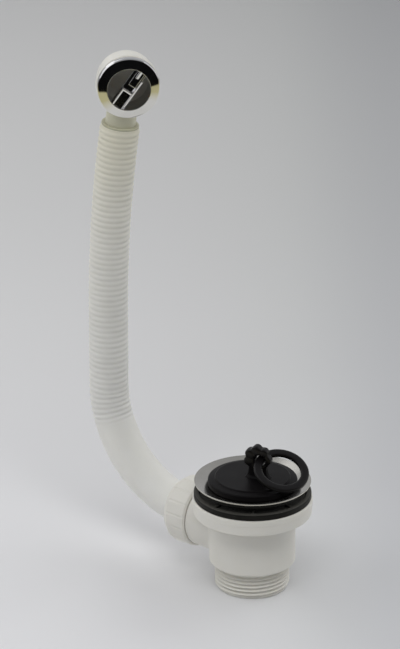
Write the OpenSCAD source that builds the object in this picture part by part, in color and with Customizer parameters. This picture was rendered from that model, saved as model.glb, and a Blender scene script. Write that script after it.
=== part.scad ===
// Basin waste with a side overflow pipe, a rubber plug and its pull ring. Sizes in mm.
// The origin is the centre of the threaded tail's lower end. +Z is up, +X right, -Y faces the viewer.

/* [Waste body] */
// outside diameter of the threaded tail, G1 1/4
tail_od = 41.9; // [39:0.1:45]
// height of the threaded tail
tail_len = 15.9; // [14:0.1:24]
// bore of the tail
tail_bore = 35.2; // [30:0.1:36]
// thread pitch
thread_pitch = 2.309; // [1.8:0.001:2.6]
// depth of the thread ridges
thread_depth = 1.2; // [0.6:0.1:1.5]
// outside diameter of the body above the tail
body_od = 48.3; // [46:0.1:54]
// wall of the body
body_wall = 3.2; // [2:0.1:3.4]
// height of the body from the tail to the flange skirt
body_h = 29.5; // [28:0.1:36]
// outside diameter of the moulded flange
flange_od = 67.2; // [66.4:0.2:76]
// height of the moulded flange, skirt included
flange_h = 9.2; // [7:0.1:14]
// thickness of the moulded flange's top plate
flange_plate = 3.6; // [2.5:0.1:5]
// thickness of the flange skirt
skirt_wall = 2.4; // [1.6:0.1:3]
// radial ribs under the flange
skirt_ribs = 8; // [6, 8, 10]

/* [Spider and screw] */
// diameter of the hub that holds the brass nut
hub_od = 17.6; // [16.4:0.1:19]
// thickness of the spider's arms
arm_t = 2.8; // [2:0.1:4]
// height of the spider's arms
arm_h = 6.4; // [4:0.1:8]
// width across flats of the brass nut
insert_af = 12; // [10:0.5:13]
// height of the brass nut
insert_h = 8; // [6:0.5:10]
// diameter of the centre screw
screw_d = 6; // [5:0.5:7]
// diameter of the screw's head
screw_head_d = 12.4; // [10:0.2:14]

/* [Strainer flange] */
// outside diameter of the pressed steel flange
dish_od = 65.6; // [62:0.2:74]
// thickness of the steel
dish_t = 1.5; // [0.8:0.1:1.8]
// fall of the dish from its rim to the plug seat
dish_fall = 2.5; // [1.5:0.1:3.5]
// room between the strainer cup and the body's bore
cup_play = 0.85; // [0.6:0.05:2]
// depth of the strainer cup under the rim
cup_depth = 10.9; // [9.5:0.1:13]
// holes in the cup's floor
cup_holes = 6; // [4, 5, 6]
// diameter of the holes in the cup's floor
cup_hole_d = 7; // [4:0.5:8]

/* [Seals under and over the basin] */
// outside diameter of the black body gasket
gasket_od = 65.8; // [60:0.2:74]
// height of the body gasket
gasket_h = 3.5; // [2.5:0.1:6]
// free space between the gasket and the steel rim, filled by the basin
clamp_gap = 5.1; // [4.6:0.1:20]
// thickness of the thin seal under the steel flange
top_seal_t = 1.3; // [0.8:0.1:2]

/* [Plug and ring] */
// how far the plug's lip reaches out over the edge of the strainer cup
lip_lap = 6.4; // [5:0.1:7]
// step on the radius from the lip in to the plug's raised disc
lip_step = 3.2; // [2:0.1:6]
// height of the plug's top above its seat
plug_h = 4.9; // [4:0.1:7]
// depth of the plug's body below its seat
plug_drop = 4.5; // [3:0.1:5]
// height of the lug eye's centre above the plug's top
eye_h = 11.1; // [10.6:0.1:14]
// radius of the bead circle round the eye
eye_r = 5.4; // [5.2:0.1:7]
// radius of the eye's hole
eye_hole_r = 3.9; // [3.8:0.1:4.2]
// thickness of the lug
lug_t = 5.6; // [4:0.1:6]
// outside diameter of the pull ring
ring_od = 30; // [28:0.2:36]
// radial width of the ring's band
ring_band = 3.8; // [3.4:0.1:4.8]
// thickness of the ring's band
ring_t = 2.8; // [2:0.1:2.9]

/* [Overflow branch] */
// height of the branch's axis above the tail's end
branch_z = 33; // [32.6:0.1:36]
// room between the hose and the branch's bore, filled by the cone seal
seal_gap = 2.55; // [2:0.05:2.8]
// wall of the branch under its thread
branch_wall = 2.4; // [1.8:0.1:3]
// step on the radius from the thread up to the collar
collar_step = 1.6; // [1.2:0.1:2]
// how far the collar stands out beyond the flange
collar_out = 0.7; // [0.6:0.1:6]
// length of the threaded end
branch_thread_len = 11.8; // [9:0.1:12]
// wall of the compression nut over the thread
nut_wall = 3; // [2:0.1:4]
// length of the compression nut
nut_len = 16.2; // [16:0.1:20]
// length of the nut's tapered outer end
nut_taper = 3.6; // [2:0.1:5]
// grip flats round the nut
nut_flats = 16; // [13:1:18]

/* [Overflow hose] */
// outside diameter of the hose
hose_od = 22.5; // [20:0.1:24]
// wall of the corrugated hose
hose_wall = 0.42; // [0.3:0.02:0.7]
// wall of the hose's smooth lower bend
cuff_wall = 0.65; // [0.5:0.05:1]
// depth of the corrugations
rib_depth = 0.8; // [0.4:0.1:1]
// pitch of the corrugations
rib_pitch = 3.2; // [2.8:0.1:4.5]
// distance from the nut's outer end in to where the bend begins
bend_in = 5.5; // [0:0.1:6]
// radius of the lower bend
bend_r = 60.4; // [45:0.1:70]
// height of the straight run above the bend
rise = 42.2; // [20:0.1:90]
// radius of the upper sweep
lean_r = 876; // [500:1:1500]
// angle by which the top of the hose leans to the right
lean = 7.5; // [4:0.1:10]

/* [Overflow head] */
// outside diameter of the chromed rose
rose_od = 35.2; // [34:0.2:40]
// depth of the rose's rim
rose_h = 4.8; // [4:0.1:6]
// radial width of the rose's rim
rose_rim = 5.6; // [5:0.1:9]
// angle by which the rim's front falls back from the opening to its edge
rim_fall = 20; // [0:1:25]
// wall of the rose's threaded sleeve
sleeve_wall = 1.35; // [1:0.05:2]
// length of the sleeve behind the rim
sleeve_len = 8.6; // [6:0.1:9]
// width of the bar across the rose
bar_w = 6.2; // [4:0.1:7]
// angle of the bar from upright
bar_lean = 28; // [0:1:45]
// thickness of the seal behind the rose
rear_seal_t = 2.2; // [1.5:0.1:5]
// wall of the elbow's cup round the rose's sleeve
cup_wall = 2.8; // [2.4:0.1:3.4]
// wall of the elbow's cup behind its thread
elbow_wall = 1.7; // [1.2:0.1:2.5]
// by how much the elbow's cup is shallower than its neck is wide
cup_short = 0.8; // [0:0.1:1.2]
// room between the neck and the hose, filled by the soft sleeve
neck_gap = 1.53; // [1.2:0.01:2.5]
// wall of the neck
neck_wall = 1.5; // [1.2:0.1:2.5]
// length of the neck from the elbow's axis to the hose's top end
neck_len = 26.7; // [24:0.1:40]
// angle by which the rose faces to the right
turn = 7; // [0:1:20]

/* [Hidden] */
$fn = 64;
azimuth = 140;       // direction of the branch, seen from above
fit = 0.05;          // clearance of seals on their seats
slip = 0.15;         // clearance of threads and sliding fits
eps = 0.01;
chamfer = 0.6;

tail_r = tail_od / 2;
tail_root = tail_r - thread_depth;
bore_r = tail_bore / 2;
body_r = body_od / 2;
body_in = body_r - body_wall;
flange_r = flange_od / 2;
skirt_z = tail_len + body_h;
flange_z = skirt_z + flange_h;
thread_n = floor((tail_len - 1.7) / thread_pitch);
crest = thread_pitch * 0.11;
ridge = thread_pitch * 0.325;

hub_r = hub_od / 2;
hub_z = tail_len + 0.6;
insert_z = hub_z + 1;
hub_top = insert_z + insert_h + 2.4;
arm_z = insert_z + 3;
screw_r = screw_d / 2 - fit;

dish_r = dish_od / 2;
gasket_top = flange_z + gasket_h;
rim_z = gasket_top + clamp_gap + dish_t;      // top of the steel rim
cup_out = body_in - cup_play;
cup_in = cup_out - dish_t;
plug_r = cup_in + lip_lap;
cup_floor = rim_z - cup_depth;                // upper face of the cup's floor
seat_r = plug_r - 0.4;                        // where the dish meets the plug's lip
seat_z = rim_z - dish_fall;
seat_in = plug_r - 3.4;
seat_in_z = seat_z - 1.1;
body_mouth = cup_out + 1;

plug_top = seat_z + plug_h;
lip_z = seat_z + 3.1;
disc_r = plug_r - lip_step;

eye_x = 3.2;
eye_z = plug_top + eye_h;
hole_x = 5;
hole_z = eye_z - 0.3;
lug_turn = -22;
ring_r = ring_od / 2;
ring_mid = ring_r - ring_band / 2;
ring_tilt = 24.5;
ring_swing = 23.5;
ring_pass = 126.5;

branch_bore = hose_od + 2 * seal_gap;
branch_thread_d = branch_bore + 2 * branch_wall;
branch_od = branch_thread_d + 2 * collar_step;
branch_reach = flange_r + collar_out;          // distance from the waste's axis to the collar's end
branch_end = branch_reach + branch_thread_len;
nut_r = branch_thread_d / 2 + nut_wall;
nut_start = branch_reach + 0.6;
nut_end = nut_start + nut_len;
nut_lip = 1.8;
hose_r = hose_od / 2;
hose_hole = hose_r + 0.4;
hose_in = branch_reach - 0.6;                  // inner end of the hose
bend_start = nut_end - bend_in;
seal_head = 2;
washer_t = nut_end - nut_lip - branch_end - seal_head - 2 * fit;
cone_len = 2.6;
cone_r = branch_bore / 2 - fit;

rose_r = rose_od / 2;
rose_in = rose_r - rose_rim;
sleeve_r = rose_in + sleeve_wall;
elbow_r = sleeve_r + slip + cup_wall;
neck_r = hose_r - rib_depth - hose_wall - neck_gap;
elbow_depth = 2 * neck_r - cup_short;
back_round = 5.7;                              // rounding of the cup's back edge
rib_start = 66;                                // angle of the bend where the ribs begin
grip_len = 10;                                 // length of neck inside the hose

// a hexagon or other regular polygon as a plain outline, by its radius to the corners
module flat_sided(r, n) {
    polygon([for (i = [0 : n - 1]) [r * cos(360 * i / n), r * sin(360 * i / n)]]);
}

// places a revolved piece on the branch, its own Z along the branch axis
module on_branch(r) {
    translate([0, 0, branch_z]) rotate([0, 0, azimuth]) translate([r, 0, 0]) rotate([0, 90, 0]) children();
}

// one flat-topped thread ridge at height z
function ridge_points(z) = [[tail_root, z - ridge], [tail_r, z - crest], [tail_r, z + crest],
    [tail_root, z + ridge]];

module body_shell() {
    rotate_extrude() polygon(concat(
        [[bore_r, 0], [tail_root - chamfer, 0], [tail_root, chamfer]],
        [for (i = [0 : thread_n - 1]) each ridge_points(1.5 + i * thread_pitch)],
        [[tail_root, tail_len], [body_r - chamfer, tail_len], [body_r, tail_len + chamfer],
         [body_r, flange_z - flange_plate], [body_r, flange_z], [body_mouth + 1, flange_z],
         [body_mouth, flange_z - 1], [body_mouth, flange_z - 3], [body_in, flange_z - 5],
         [body_in, tail_len + 3.4], [bore_r, tail_len + 0.6]]));
}

module body_flange() {
    inner = flange_r - skirt_wall;
    rotate_extrude() polygon([[body_r - 1, flange_z - flange_plate], [inner, flange_z - flange_plate],
        [inner, skirt_z], [flange_r - 0.8, skirt_z], [flange_r - 0.4, skirt_z + 0.4],
        [flange_r - 0.2, flange_z - 3.6], [flange_r, flange_z - 3.4], [flange_r, flange_z - 0.7],
        [flange_r - 0.7, flange_z], [body_r - 1, flange_z]]);
    for (i = [0 : skirt_ribs - 1])
        rotate([0, 0, azimuth + 180 / skirt_ribs + i * 360 / skirt_ribs])
            translate([body_r - 0.5, -0.9, skirt_z + 1.2])
                cube([inner - body_r + 1, 1.8, flange_h - flange_plate - 1]);
}

module spider() {
    translate([0, 0, hub_z]) cylinder(r = hub_r, h = hub_top - hub_z);
    for (a = [45, 135])
        rotate([0, 0, azimuth + a]) translate([-body_in - 0.5, -arm_t / 2, arm_z])
            cube([2 * body_in + 1, arm_t, arm_h]);
}

module waste_body() color("white") difference() {
    union() {
        body_shell();
        body_flange();
        intersection() {
            spider();
            cylinder(r = body_in + 0.5, h = skirt_z);
        }
        difference() {
            on_branch(0) rotate_extrude() polygon([[0, body_in + 0.4], [branch_od / 2, body_in + 0.4],
                [branch_od / 2, branch_reach - chamfer], [branch_od / 2 - chamfer, branch_reach],
                [branch_thread_d / 2 - 0.8, branch_reach], [branch_thread_d / 2 - 0.8, nut_start + 0.3],
                [branch_thread_d / 2, nut_start + 1.1], [branch_thread_d / 2, branch_end - 0.6],
                [branch_thread_d / 2 - 0.6, branch_end], [0, branch_end]]);
            cylinder(r = body_in + 0.3, h = flange_z);
        }
    }
    on_branch(0) translate([0, 0, body_in - 4]) cylinder(d = branch_bore, h = branch_end);
    // pocket for the brass nut, open below, and the screw's way through
    translate([0, 0, hub_z - 1]) linear_extrude(insert_z + insert_h + fit - hub_z + 1)
        flat_sided((insert_af / 2 + fit) / cos(30), 6);
    translate([0, 0, hub_z]) cylinder(r = screw_r + 0.3, h = hub_top);
}

module hub_nut() color("goldenrod") translate([0, 0, insert_z]) difference() {
    linear_extrude(insert_h) flat_sided(insert_af / 2 / cos(30), 6);
    translate([0, 0, -1]) cylinder(r = screw_r + fit, h = insert_h + 2);
}

module centre_screw() color("silver") difference() {
    rotate_extrude() polygon([[0, hub_z + 0.2], [screw_r - 0.6, hub_z + 0.2], [screw_r, hub_z + 0.8],
        [screw_r, cup_floor + fit], [screw_head_d / 2, cup_floor + fit],
        [screw_head_d / 2, cup_floor + 1.1], [screw_head_d / 2 - 1.4, cup_floor + 2],
        [0, cup_floor + 2.4]]);
    for (a = [0, 90]) rotate([0, 0, a]) translate([-3, -0.6, cup_floor + 1]) cube([6, 1.2, 2]);
}

module strainer() color("lightgray") difference() {
    rotate_extrude() polygon([[screw_r + 0.3, cup_floor], [cup_in - 0.8, cup_floor],
        [cup_in, cup_floor + 0.8], [cup_in, seat_in_z - 2.6], [cup_in + 0.5, seat_in_z - 1.4],
        [(cup_in + seat_in) / 2 + 0.1, seat_in_z - 0.5],
        [seat_in, seat_in_z], [seat_r, seat_z], [dish_r - 0.4, rim_z], [dish_r, rim_z - 0.4],
        [dish_r, rim_z - dish_t + 0.3], [dish_r - 0.4, rim_z - dish_t],
        [seat_r, seat_z - dish_t - 0.1], [seat_in, seat_in_z - dish_t - 0.1],
        [(cup_in + seat_in) / 2 + 0.8, seat_in_z - 0.7 - dish_t], [cup_out, seat_in_z - 1.2 - dish_t],
        [cup_out, cup_floor - 0.2], [cup_out - 1.3, cup_floor - dish_t],
        [screw_r + 0.3, cup_floor - dish_t]]);
    for (i = [0 : cup_holes - 1]) rotate([0, 0, (i + 0.5) * 360 / cup_holes])
        translate([(cup_in + screw_head_d / 2) / 2 - 0.3, 0, cup_floor - 2 * dish_t])
                cylinder(d = cup_hole_d, h = 3 * dish_t);
}

// height of the steel flange's lower face at radius r
function dish_under(r) = seat_z - dish_t - 0.1
    + (r - seat_r) * (rim_z - seat_z + 0.1) / (dish_r - 0.4 - seat_r);

module strainer_seal() color("dimgray") {
    r0 = seat_r + 0.4;
    r1 = dish_r - 3;
    rotate_extrude() polygon([[r0, dish_under(r0) - fit], [r1, dish_under(r1) - fit],
        [r1, dish_under(r1) - fit - top_seal_t], [r0, dish_under(r0) - fit - top_seal_t]]);
}

module body_gasket() color("dimgray") {
    go = gasket_od / 2;
    gi = body_mouth + 1;
    bead = go - 2.6;
    inner = (gi + bead) / 2 - 0.6;
    union() {
        rotate_extrude() polygon([[gi, flange_z], [go - 0.4, flange_z], [go, flange_z + 0.4],
            [go, gasket_top - 0.7], [go - 0.7, gasket_top], [bead, gasket_top],
            [bead - 0.6, gasket_top - 0.9], [inner, gasket_top - 0.9], [inner - 0.8, gasket_top],
            [gi, gasket_top]]);
        for (i = [0 : 7]) rotate([0, 0, 45 * i]) translate([inner - 0.4, -0.8, gasket_top - 1.4])
            cube([bead - inner + 0.8, 1.6, 1.4]);
    }
}

module plug() color("dimgray") {
    rotate_extrude() polygon([[0, seat_in_z - plug_drop], [cup_in - 1.6, seat_in_z - plug_drop],
        [cup_in - 0.8, seat_in_z - plug_drop + 0.8], [cup_in - 0.5, seat_in_z - 2.4],
        [cup_in + 0.1, seat_in_z - 1], [(cup_in + seat_in) / 2, seat_in_z - 0.2],
        [seat_in, seat_in_z + fit], [seat_r, seat_z + fit], [plug_r, seat_z + 0.4],
        [plug_r, lip_z - 0.8], [plug_r - 0.8, lip_z], [disc_r + 0.5, lip_z + 0.2],
        [disc_r, lip_z + 0.6], [disc_r, plug_top - 0.6], [disc_r - 0.6, plug_top], [0, plug_top]]);
    rotate([0, 0, lug_turn]) difference() {
        translate([0, lug_t / 2, 0]) rotate([90, 0, 0]) linear_extrude(lug_t) {
            translate([eye_x, eye_z]) circle(r = eye_r + 1.6);
            for (a = [0, 49, 98, 147, 196])
                translate([eye_x + eye_r * cos(a), eye_z + eye_r * sin(a)]) circle(r = 2.7);
            polygon([[eye_x - eye_r - 1, plug_top - 1], [eye_x + eye_r + 1.4, plug_top - 1],
                [eye_x + eye_r + 0.2, eye_z - eye_r + 1], [eye_x - eye_r + 0.6, eye_z - eye_r + 1]]);
        }
        translate([hole_x, lug_t / 2 + 1, hole_z]) rotate([90, 0, 0]) cylinder(r = eye_hole_r, h = lug_t + 2);
    }
}

module pull_ring() color("dimgray")
    rotate([0, 0, lug_turn]) translate([hole_x, 0, hole_z]) rotate([0, 0, -lug_turn])
        rotate([ring_tilt, 0, ring_swing])
            translate([-ring_mid * cos(ring_pass), -ring_mid * sin(ring_pass), 0])
                rotate_extrude() translate([ring_mid, 0]) polygon([
                    [-ring_band / 2, -ring_t / 2 + 0.8], [-ring_band / 2 + 0.8, -ring_t / 2],
                    [ring_band / 2 - 0.8, -ring_t / 2], [ring_band / 2, -ring_t / 2 + 0.8],
                    [ring_band / 2, ring_t / 2 - 0.8], [ring_band / 2 - 0.8, ring_t / 2],
                    [-ring_band / 2 + 0.8, ring_t / 2], [-ring_band / 2, ring_t / 2 - 0.8]]);

module branch_nut() color("white") {
    thread_in = branch_thread_d / 2 + slip;
    on_branch(nut_start) difference() {
        intersection() {
            linear_extrude(nut_len) flat_sided(nut_r / cos(180 / nut_flats), nut_flats);
            rotate_extrude() polygon([[0, 0], [nut_r - 0.8, 0], [nut_r + 0.1, 0.9],
                [nut_r + 0.1, nut_len - nut_taper], [nut_r - nut_taper * 0.7, nut_len], [0, nut_len]]);
        }
        translate([0, 0, -1]) cylinder(r = thread_in, h = nut_len - nut_lip + 1);
        cylinder(r = hose_hole, h = nut_len + 1);
        for (i = [0 : nut_flats - 1]) rotate([0, 0, i * 360 / nut_flats])
            translate([nut_r / cos(180 / nut_flats) + 0.1, 0, -1]) cylinder(r = 0.6, h = nut_len + 2);
    }
}

module branch_washer() color("whitesmoke") on_branch(branch_end + seal_head + fit) difference() {
    cylinder(r = branch_thread_d / 2 - 0.4, h = washer_t);
    translate([0, 0, -1]) cylinder(r = hose_r + 0.3, h = washer_t + 2);
}

module branch_seal() color("gray") on_branch(branch_end) rotate_extrude() polygon([
    [hose_r + fit, -cone_len], [cone_r - 0.9, -cone_len], [cone_r, -0.2], [cone_r, fit],
    [branch_thread_d / 2 - 0.8, fit], [branch_thread_d / 2 - 0.8, seal_head], [hose_r + fit, seal_head]]);

// The hose's centre line: straight, a quarter bend, straight up, then a slow lean to the right.
len_in = bend_start - hose_in;
len_bend = bend_r * PI / 2;
len_lean = lean_r * lean * PI / 180;
hose_len = len_in + len_bend + rise + len_lean;
out_dir = [cos(azimuth), sin(azimuth), 0];
side_dir = [-sin(azimuth), cos(azimuth), 0];
rise_start = [out_dir[0] * (bend_start + bend_r), out_dir[1] * (bend_start + bend_r), branch_z + bend_r];

function hose_at(s) = s < len_in ? out_dir * (hose_in + s) + [0, 0, branch_z]
    : s < len_in + len_bend ? let (a = (s - len_in) / bend_r * 180 / PI)
        out_dir * (bend_start + bend_r * sin(a)) + [0, 0, branch_z + bend_r * (1 - cos(a))]
    : s < len_in + len_bend + rise ? rise_start + [0, 0, s - len_in - len_bend]
    : let (a = (s - len_in - len_bend - rise) / lean_r * 180 / PI)
        rise_start + [lean_r * (1 - cos(a)), 0, rise + lean_r * sin(a)];

// the hose's own cross direction at s, in the plane of its bend
function hose_up(s) = s < len_in ? [0, 0, 1]
    : s < len_in + len_bend ? let (a = (s - len_in) / bend_r * 180 / PI)
        -out_dir * sin(a) + [0, 0, cos(a)]
    : s < len_in + len_bend + rise ? -out_dir
    : let (a = (s - len_in - len_bend - rise) / lean_r * 180 / PI)
        [-out_dir[0] * cos(a), -out_dir[1], out_dir[0] * sin(a)];

function hose_side(s) = s <= len_in + len_bend + rise ? side_dir
    : let (a = (s - len_in - len_bend - rise) / lean_r * 180 / PI)
        [side_dir[0] * cos(a), side_dir[1], -side_dir[0] * sin(a)];

hose_sides = 20;
plain_len = len_in + len_bend * rib_start / 90;
ribs = floor((hose_len - plain_len - 1) / rib_pitch);
rib_step = (hose_len - plain_len - 1) / ribs;
// stations along the hose as [distance, outside radius, wall]
stations = concat(
    [[0, hose_r, cuff_wall]],
    [for (i = [0 : 13]) [len_in + (plain_len - len_in) * i / 14, hose_r, cuff_wall]],
    [for (i = [0 : ribs - 1]) each [
        [plain_len + i * rib_step, i == 0 ? hose_r : hose_r - rib_depth, hose_wall],
        [plain_len + (i + 0.5) * rib_step, hose_r, hose_wall]]],
    [[hose_len - 1, hose_r - rib_depth, hose_wall], [hose_len, hose_r - rib_depth, hose_wall]]);

function hose_ring(s, r) = [for (k = [0 : hose_sides - 1]) let (a = 360 * k / hose_sides)
    hose_at(s) + r * (cos(a) * hose_side(s) + sin(a) * hose_up(s))];

module overflow_hose() color("whitesmoke") {
    n = len(stations);
    m = hose_sides;
    points = concat([for (q = stations) each hose_ring(q[0], q[1])],
        [for (q = stations) each hose_ring(q[0], q[1] - q[2])]);
    in = n * m;
    faces = concat(
        [for (i = [0 : n - 2], k = [0 : m - 1]) let (j = (k + 1) % m)
            [i * m + k, i * m + j, (i + 1) * m + j, (i + 1) * m + k]],
        [for (i = [0 : n - 2], k = [0 : m - 1]) let (j = (k + 1) % m)
            [in + i * m + j, in + i * m + k, in + (i + 1) * m + k, in + (i + 1) * m + j]],
        [for (k = [0 : m - 1]) let (j = (k + 1) % m) [j, k, in + k, in + j]],
        [for (k = [0 : m - 1]) let (j = (k + 1) % m, e = (n - 1) * m)
            [e + k, e + j, in + e + j, in + e + k]]);
    polyhedron(points, faces, convexity = 8);
}

// frame of the overflow head: origin where the neck's axis meets the cup's axis, -Y out of the rose
module at_head() {
    translate(hose_at(hose_len - eps / 100)) rotate([0, lean, 0]) translate([0, 0, neck_len])
        rotate([0, 0, turn]) children();
}

face_y = -neck_r;                              // front face of the elbow's flange
back_y = face_y + elbow_depth;
seal_y = face_y - rear_seal_t;                 // back face of the rose

// revolves an outline of [radius, depth] about the head's axis, depth growing backwards
module about_head() { rotate([-90, 0, 0]) rotate_extrude() children(); }

module neck_seal() color("whitesmoke") at_head() translate([0, 0, -neck_len]) rotate_extrude() polygon([
    [neck_r + fit, -grip_len], [hose_r - rib_depth - hose_wall - 0.3, -grip_len],
    [hose_r - rib_depth - hose_wall - 0.3, fit], [hose_r - rib_depth, fit],
    [hose_r - rib_depth, 1.2], [neck_r + fit, 1.2]]);

module overflow_elbow() color("white") at_head() difference() {
    union() {
        about_head() polygon([[0, face_y], [rose_r - 0.5, face_y], [rose_r - 0.1, face_y + 0.4],
            [rose_r - 0.1, face_y + 3.8], [rose_r - 0.6, face_y + 4.3], [elbow_r, face_y + 4.6],
            for (a = [0 : 22.5 : 90]) [elbow_r - back_round * (1 - cos(a)), back_y - back_round * (1 - sin(a))],
            [0, back_y]]);
        translate([0, 0, -neck_len - grip_len]) cylinder(r = neck_r, h = neck_len + grip_len);
        // flare from the neck into the cup, cut flush with the flange's face
        intersection() {
            translate([0, 0, -elbow_r - 2]) cylinder(r1 = neck_r, r2 = neck_r + 1.6, h = 4);
            translate([-rose_r, face_y + 0.4, -rose_od]) cube(rose_od);
        }
    }
    about_head() polygon([[0, face_y - 1], [sleeve_r + slip, face_y - 1],
        [sleeve_r + slip, back_y - back_round * 0.95],
        [elbow_r - elbow_wall - back_round * 0.42, back_y - back_round * 0.6],
        [elbow_r - elbow_wall - back_round, back_y - elbow_wall], [0, back_y - elbow_wall]]);
    translate([0, 0, -neck_len - grip_len - 1]) cylinder(r = neck_r - neck_wall, h = neck_len + grip_len + 1);
}

module rose_seal() color("whitesmoke") at_head() about_head() polygon([
    [sleeve_r + 0.3, seal_y + fit], [rose_r - 0.6, seal_y + fit],
    [rose_r - 0.6, face_y - fit], [sleeve_r + 0.3, face_y - fit]]);

module overflow_rose() color("silver") at_head() {
    front = seal_y - rose_h;
    edge = front + (rose_rim - 2) * tan(rim_fall);
    difference() {
        union() {
            about_head() polygon([[rose_in, front + 0.6], [rose_in + 0.6, front], [rose_r - 1.4, edge],
                [rose_r - 0.4, edge + 0.7], [rose_r, edge + 1.8], [rose_r, seal_y - 0.4], [rose_r - 0.4, seal_y],
                [sleeve_r, seal_y], [sleeve_r, seal_y + sleeve_len], [rose_in, seal_y + sleeve_len]]);
            // the bar, its centre boss and two lugs
            rotate([0, bar_lean, 0]) {
                translate([-bar_w / 2, front + 2.2, -rose_in - 0.6]) cube([bar_w, 2.4, 2 * rose_in + 1.2]);
                translate([-bar_w / 2 + 0.7, front + 0.5, 1.3]) cube([bar_w - 1.4, 2, rose_in - 1.6]);
                translate([-bar_w / 2, front + 0.5, -rose_in - 0.3]) cube([bar_w, 2, rose_in - 1]);
            }
        }
        rotate([0, bar_lean, 0])
            translate([-bar_w / 2 + 0.9, front, -rose_in + 1]) cube([bar_w - 1.8, 3.4, rose_in - 3.2]);
    }
}

waste_body();
hub_nut();
centre_screw();
strainer();
strainer_seal();
body_gasket();
plug();
pull_ring();
branch_nut();
branch_washer();
branch_seal();
overflow_hose();
neck_seal();
overflow_elbow();
rose_seal();
overflow_rose();
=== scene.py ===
import math
import bpy
import numpy as np
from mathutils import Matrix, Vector


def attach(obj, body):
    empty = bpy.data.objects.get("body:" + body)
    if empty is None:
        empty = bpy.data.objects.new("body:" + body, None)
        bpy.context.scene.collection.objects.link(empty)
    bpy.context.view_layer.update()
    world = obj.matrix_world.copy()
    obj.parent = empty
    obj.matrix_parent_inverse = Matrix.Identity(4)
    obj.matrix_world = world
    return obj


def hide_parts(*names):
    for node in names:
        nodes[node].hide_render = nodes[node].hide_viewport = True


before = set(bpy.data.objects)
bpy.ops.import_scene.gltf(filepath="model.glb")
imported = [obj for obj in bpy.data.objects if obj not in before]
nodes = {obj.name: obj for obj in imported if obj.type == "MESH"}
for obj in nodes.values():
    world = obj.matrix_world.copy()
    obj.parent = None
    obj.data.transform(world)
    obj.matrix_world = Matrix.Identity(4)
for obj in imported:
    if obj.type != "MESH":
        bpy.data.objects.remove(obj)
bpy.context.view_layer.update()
print("stage 1: frame loaded")

# Lengths are in mm and angles in degrees, unless a note says otherwise.
mm = 0.001
branchAngle = 140.0       # direction of the overflow branch seen from above
branchHeight = 33.0       # height of the branch's axis

# curves and surfaces


# Rotation matrices about the axes, by the right-hand rule.
def turnX(angle):
    a = math.radians(angle)
    return np.array([[1, 0, 0], [0, math.cos(a), -math.sin(a)], [0, math.sin(a), math.cos(a)]])


def turnY(angle):
    a = math.radians(angle)
    return np.array([[math.cos(a), 0, math.sin(a)], [0, 1, 0], [-math.sin(a), 0, math.cos(a)]])


def turnZ(angle):
    a = math.radians(angle)
    return np.array([[math.cos(a), -math.sin(a), 0], [math.sin(a), math.cos(a), 0], [0, 0, 1]])


# Angles of one full turn, without the one that closes it.
def fullTurn(count):
    return np.linspace(0, 2 * np.pi, count, endpoint=False)


# A path through corners (r, z, fillet): each corner becomes an arc of its fillet radius, tangent to
# both of its sides. A guard point beside each arc keeps the flats flat in smooth shading. An arc takes
# at most 0.46 of a side, and a guard point lies within 0.48 of it, so neighbours never cross.
def filletPath(corners, closed=True, steps=6, guard=0.12):
    arcShare, guardShare = 0.46, 0.48
    leastFillet, sharpFillet = 0.03, 0.05
    straight = 1.55       # half angle in radians above which a corner is taken for straight
    pts = np.array([c[:2] for c in corners], float)
    fillets = [c[2] if len(c) > 2 else 0.0 for c in corners]
    n = len(pts)
    out = []
    for i in range(n):
        if not closed and i in (0, n - 1):
            out.append(pts[i:i + 1])
            continue
        p, a, b = pts[i], pts[i - 1], pts[(i + 1) % n]
        u, v = a - p, b - p
        lu, lv = np.linalg.norm(u), np.linalg.norm(v)
        u, v = u / lu, v / lv
        half = math.acos(max(-1.0, min(1.0, float(u @ v)))) / 2
        if half > straight:
            out.append(p[None])
            continue
        t = min(max(fillets[i], leastFillet) / math.tan(half), arcShare * min(lu, lv))
        rad = t * math.tan(half)
        centre = p + (u + v) / np.linalg.norm(u + v) * rad / math.sin(half)
        s, e = p + u * t - centre, p + v * t - centre
        total = math.atan2(s[0] * e[1] - s[1] * e[0], s @ e)
        k = np.linspace(0, total, (steps if fillets[i] > sharpFillet else 2) + 1)
        arc = centre + np.stack([s[0] * np.cos(k) - s[1] * np.sin(k),
                                 s[0] * np.sin(k) + s[1] * np.cos(k)], 1)
        before = [p + u * (t + guard)] if t + guard < guardShare * lu else []
        after = [p + v * (t + guard)] if t + guard < guardShare * lv else []
        out += [np.array(before).reshape(-1, 2), arc, np.array(after).reshape(-1, 2)]
    return np.concatenate(out)


# Revolves a path [n, (r, z)] about the z axis: x = r cos t, y = r sin t.
def revolve(path, columns=128):
    t = fullTurn(columns)
    r = path[:, :1]
    z = np.broadcast_to(path[:, 1:], (len(path), columns))
    return np.stack([r * np.cos(t), r * np.sin(t), z], -1)


# Superellipse of half sizes a, b: (a |cos t|^e, b |sin t|^e) with the signs of cos t and sin t.
def superEllipse(a, b, e, count):
    t = fullTurn(count)
    c, s = np.cos(t), np.sin(t)
    return np.stack([a * np.sign(c) * np.abs(c) ** e, b * np.sign(s) * np.abs(s) ** e], -1)


# Smooth step from 0 at lo to 1 at hi: 3 x^2 - 2 x^3.
def ramp(x, lo, hi):
    k = np.clip((x - lo) / (hi - lo), 0, 1)
    return k * k * (3 - 2 * k)


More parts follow.
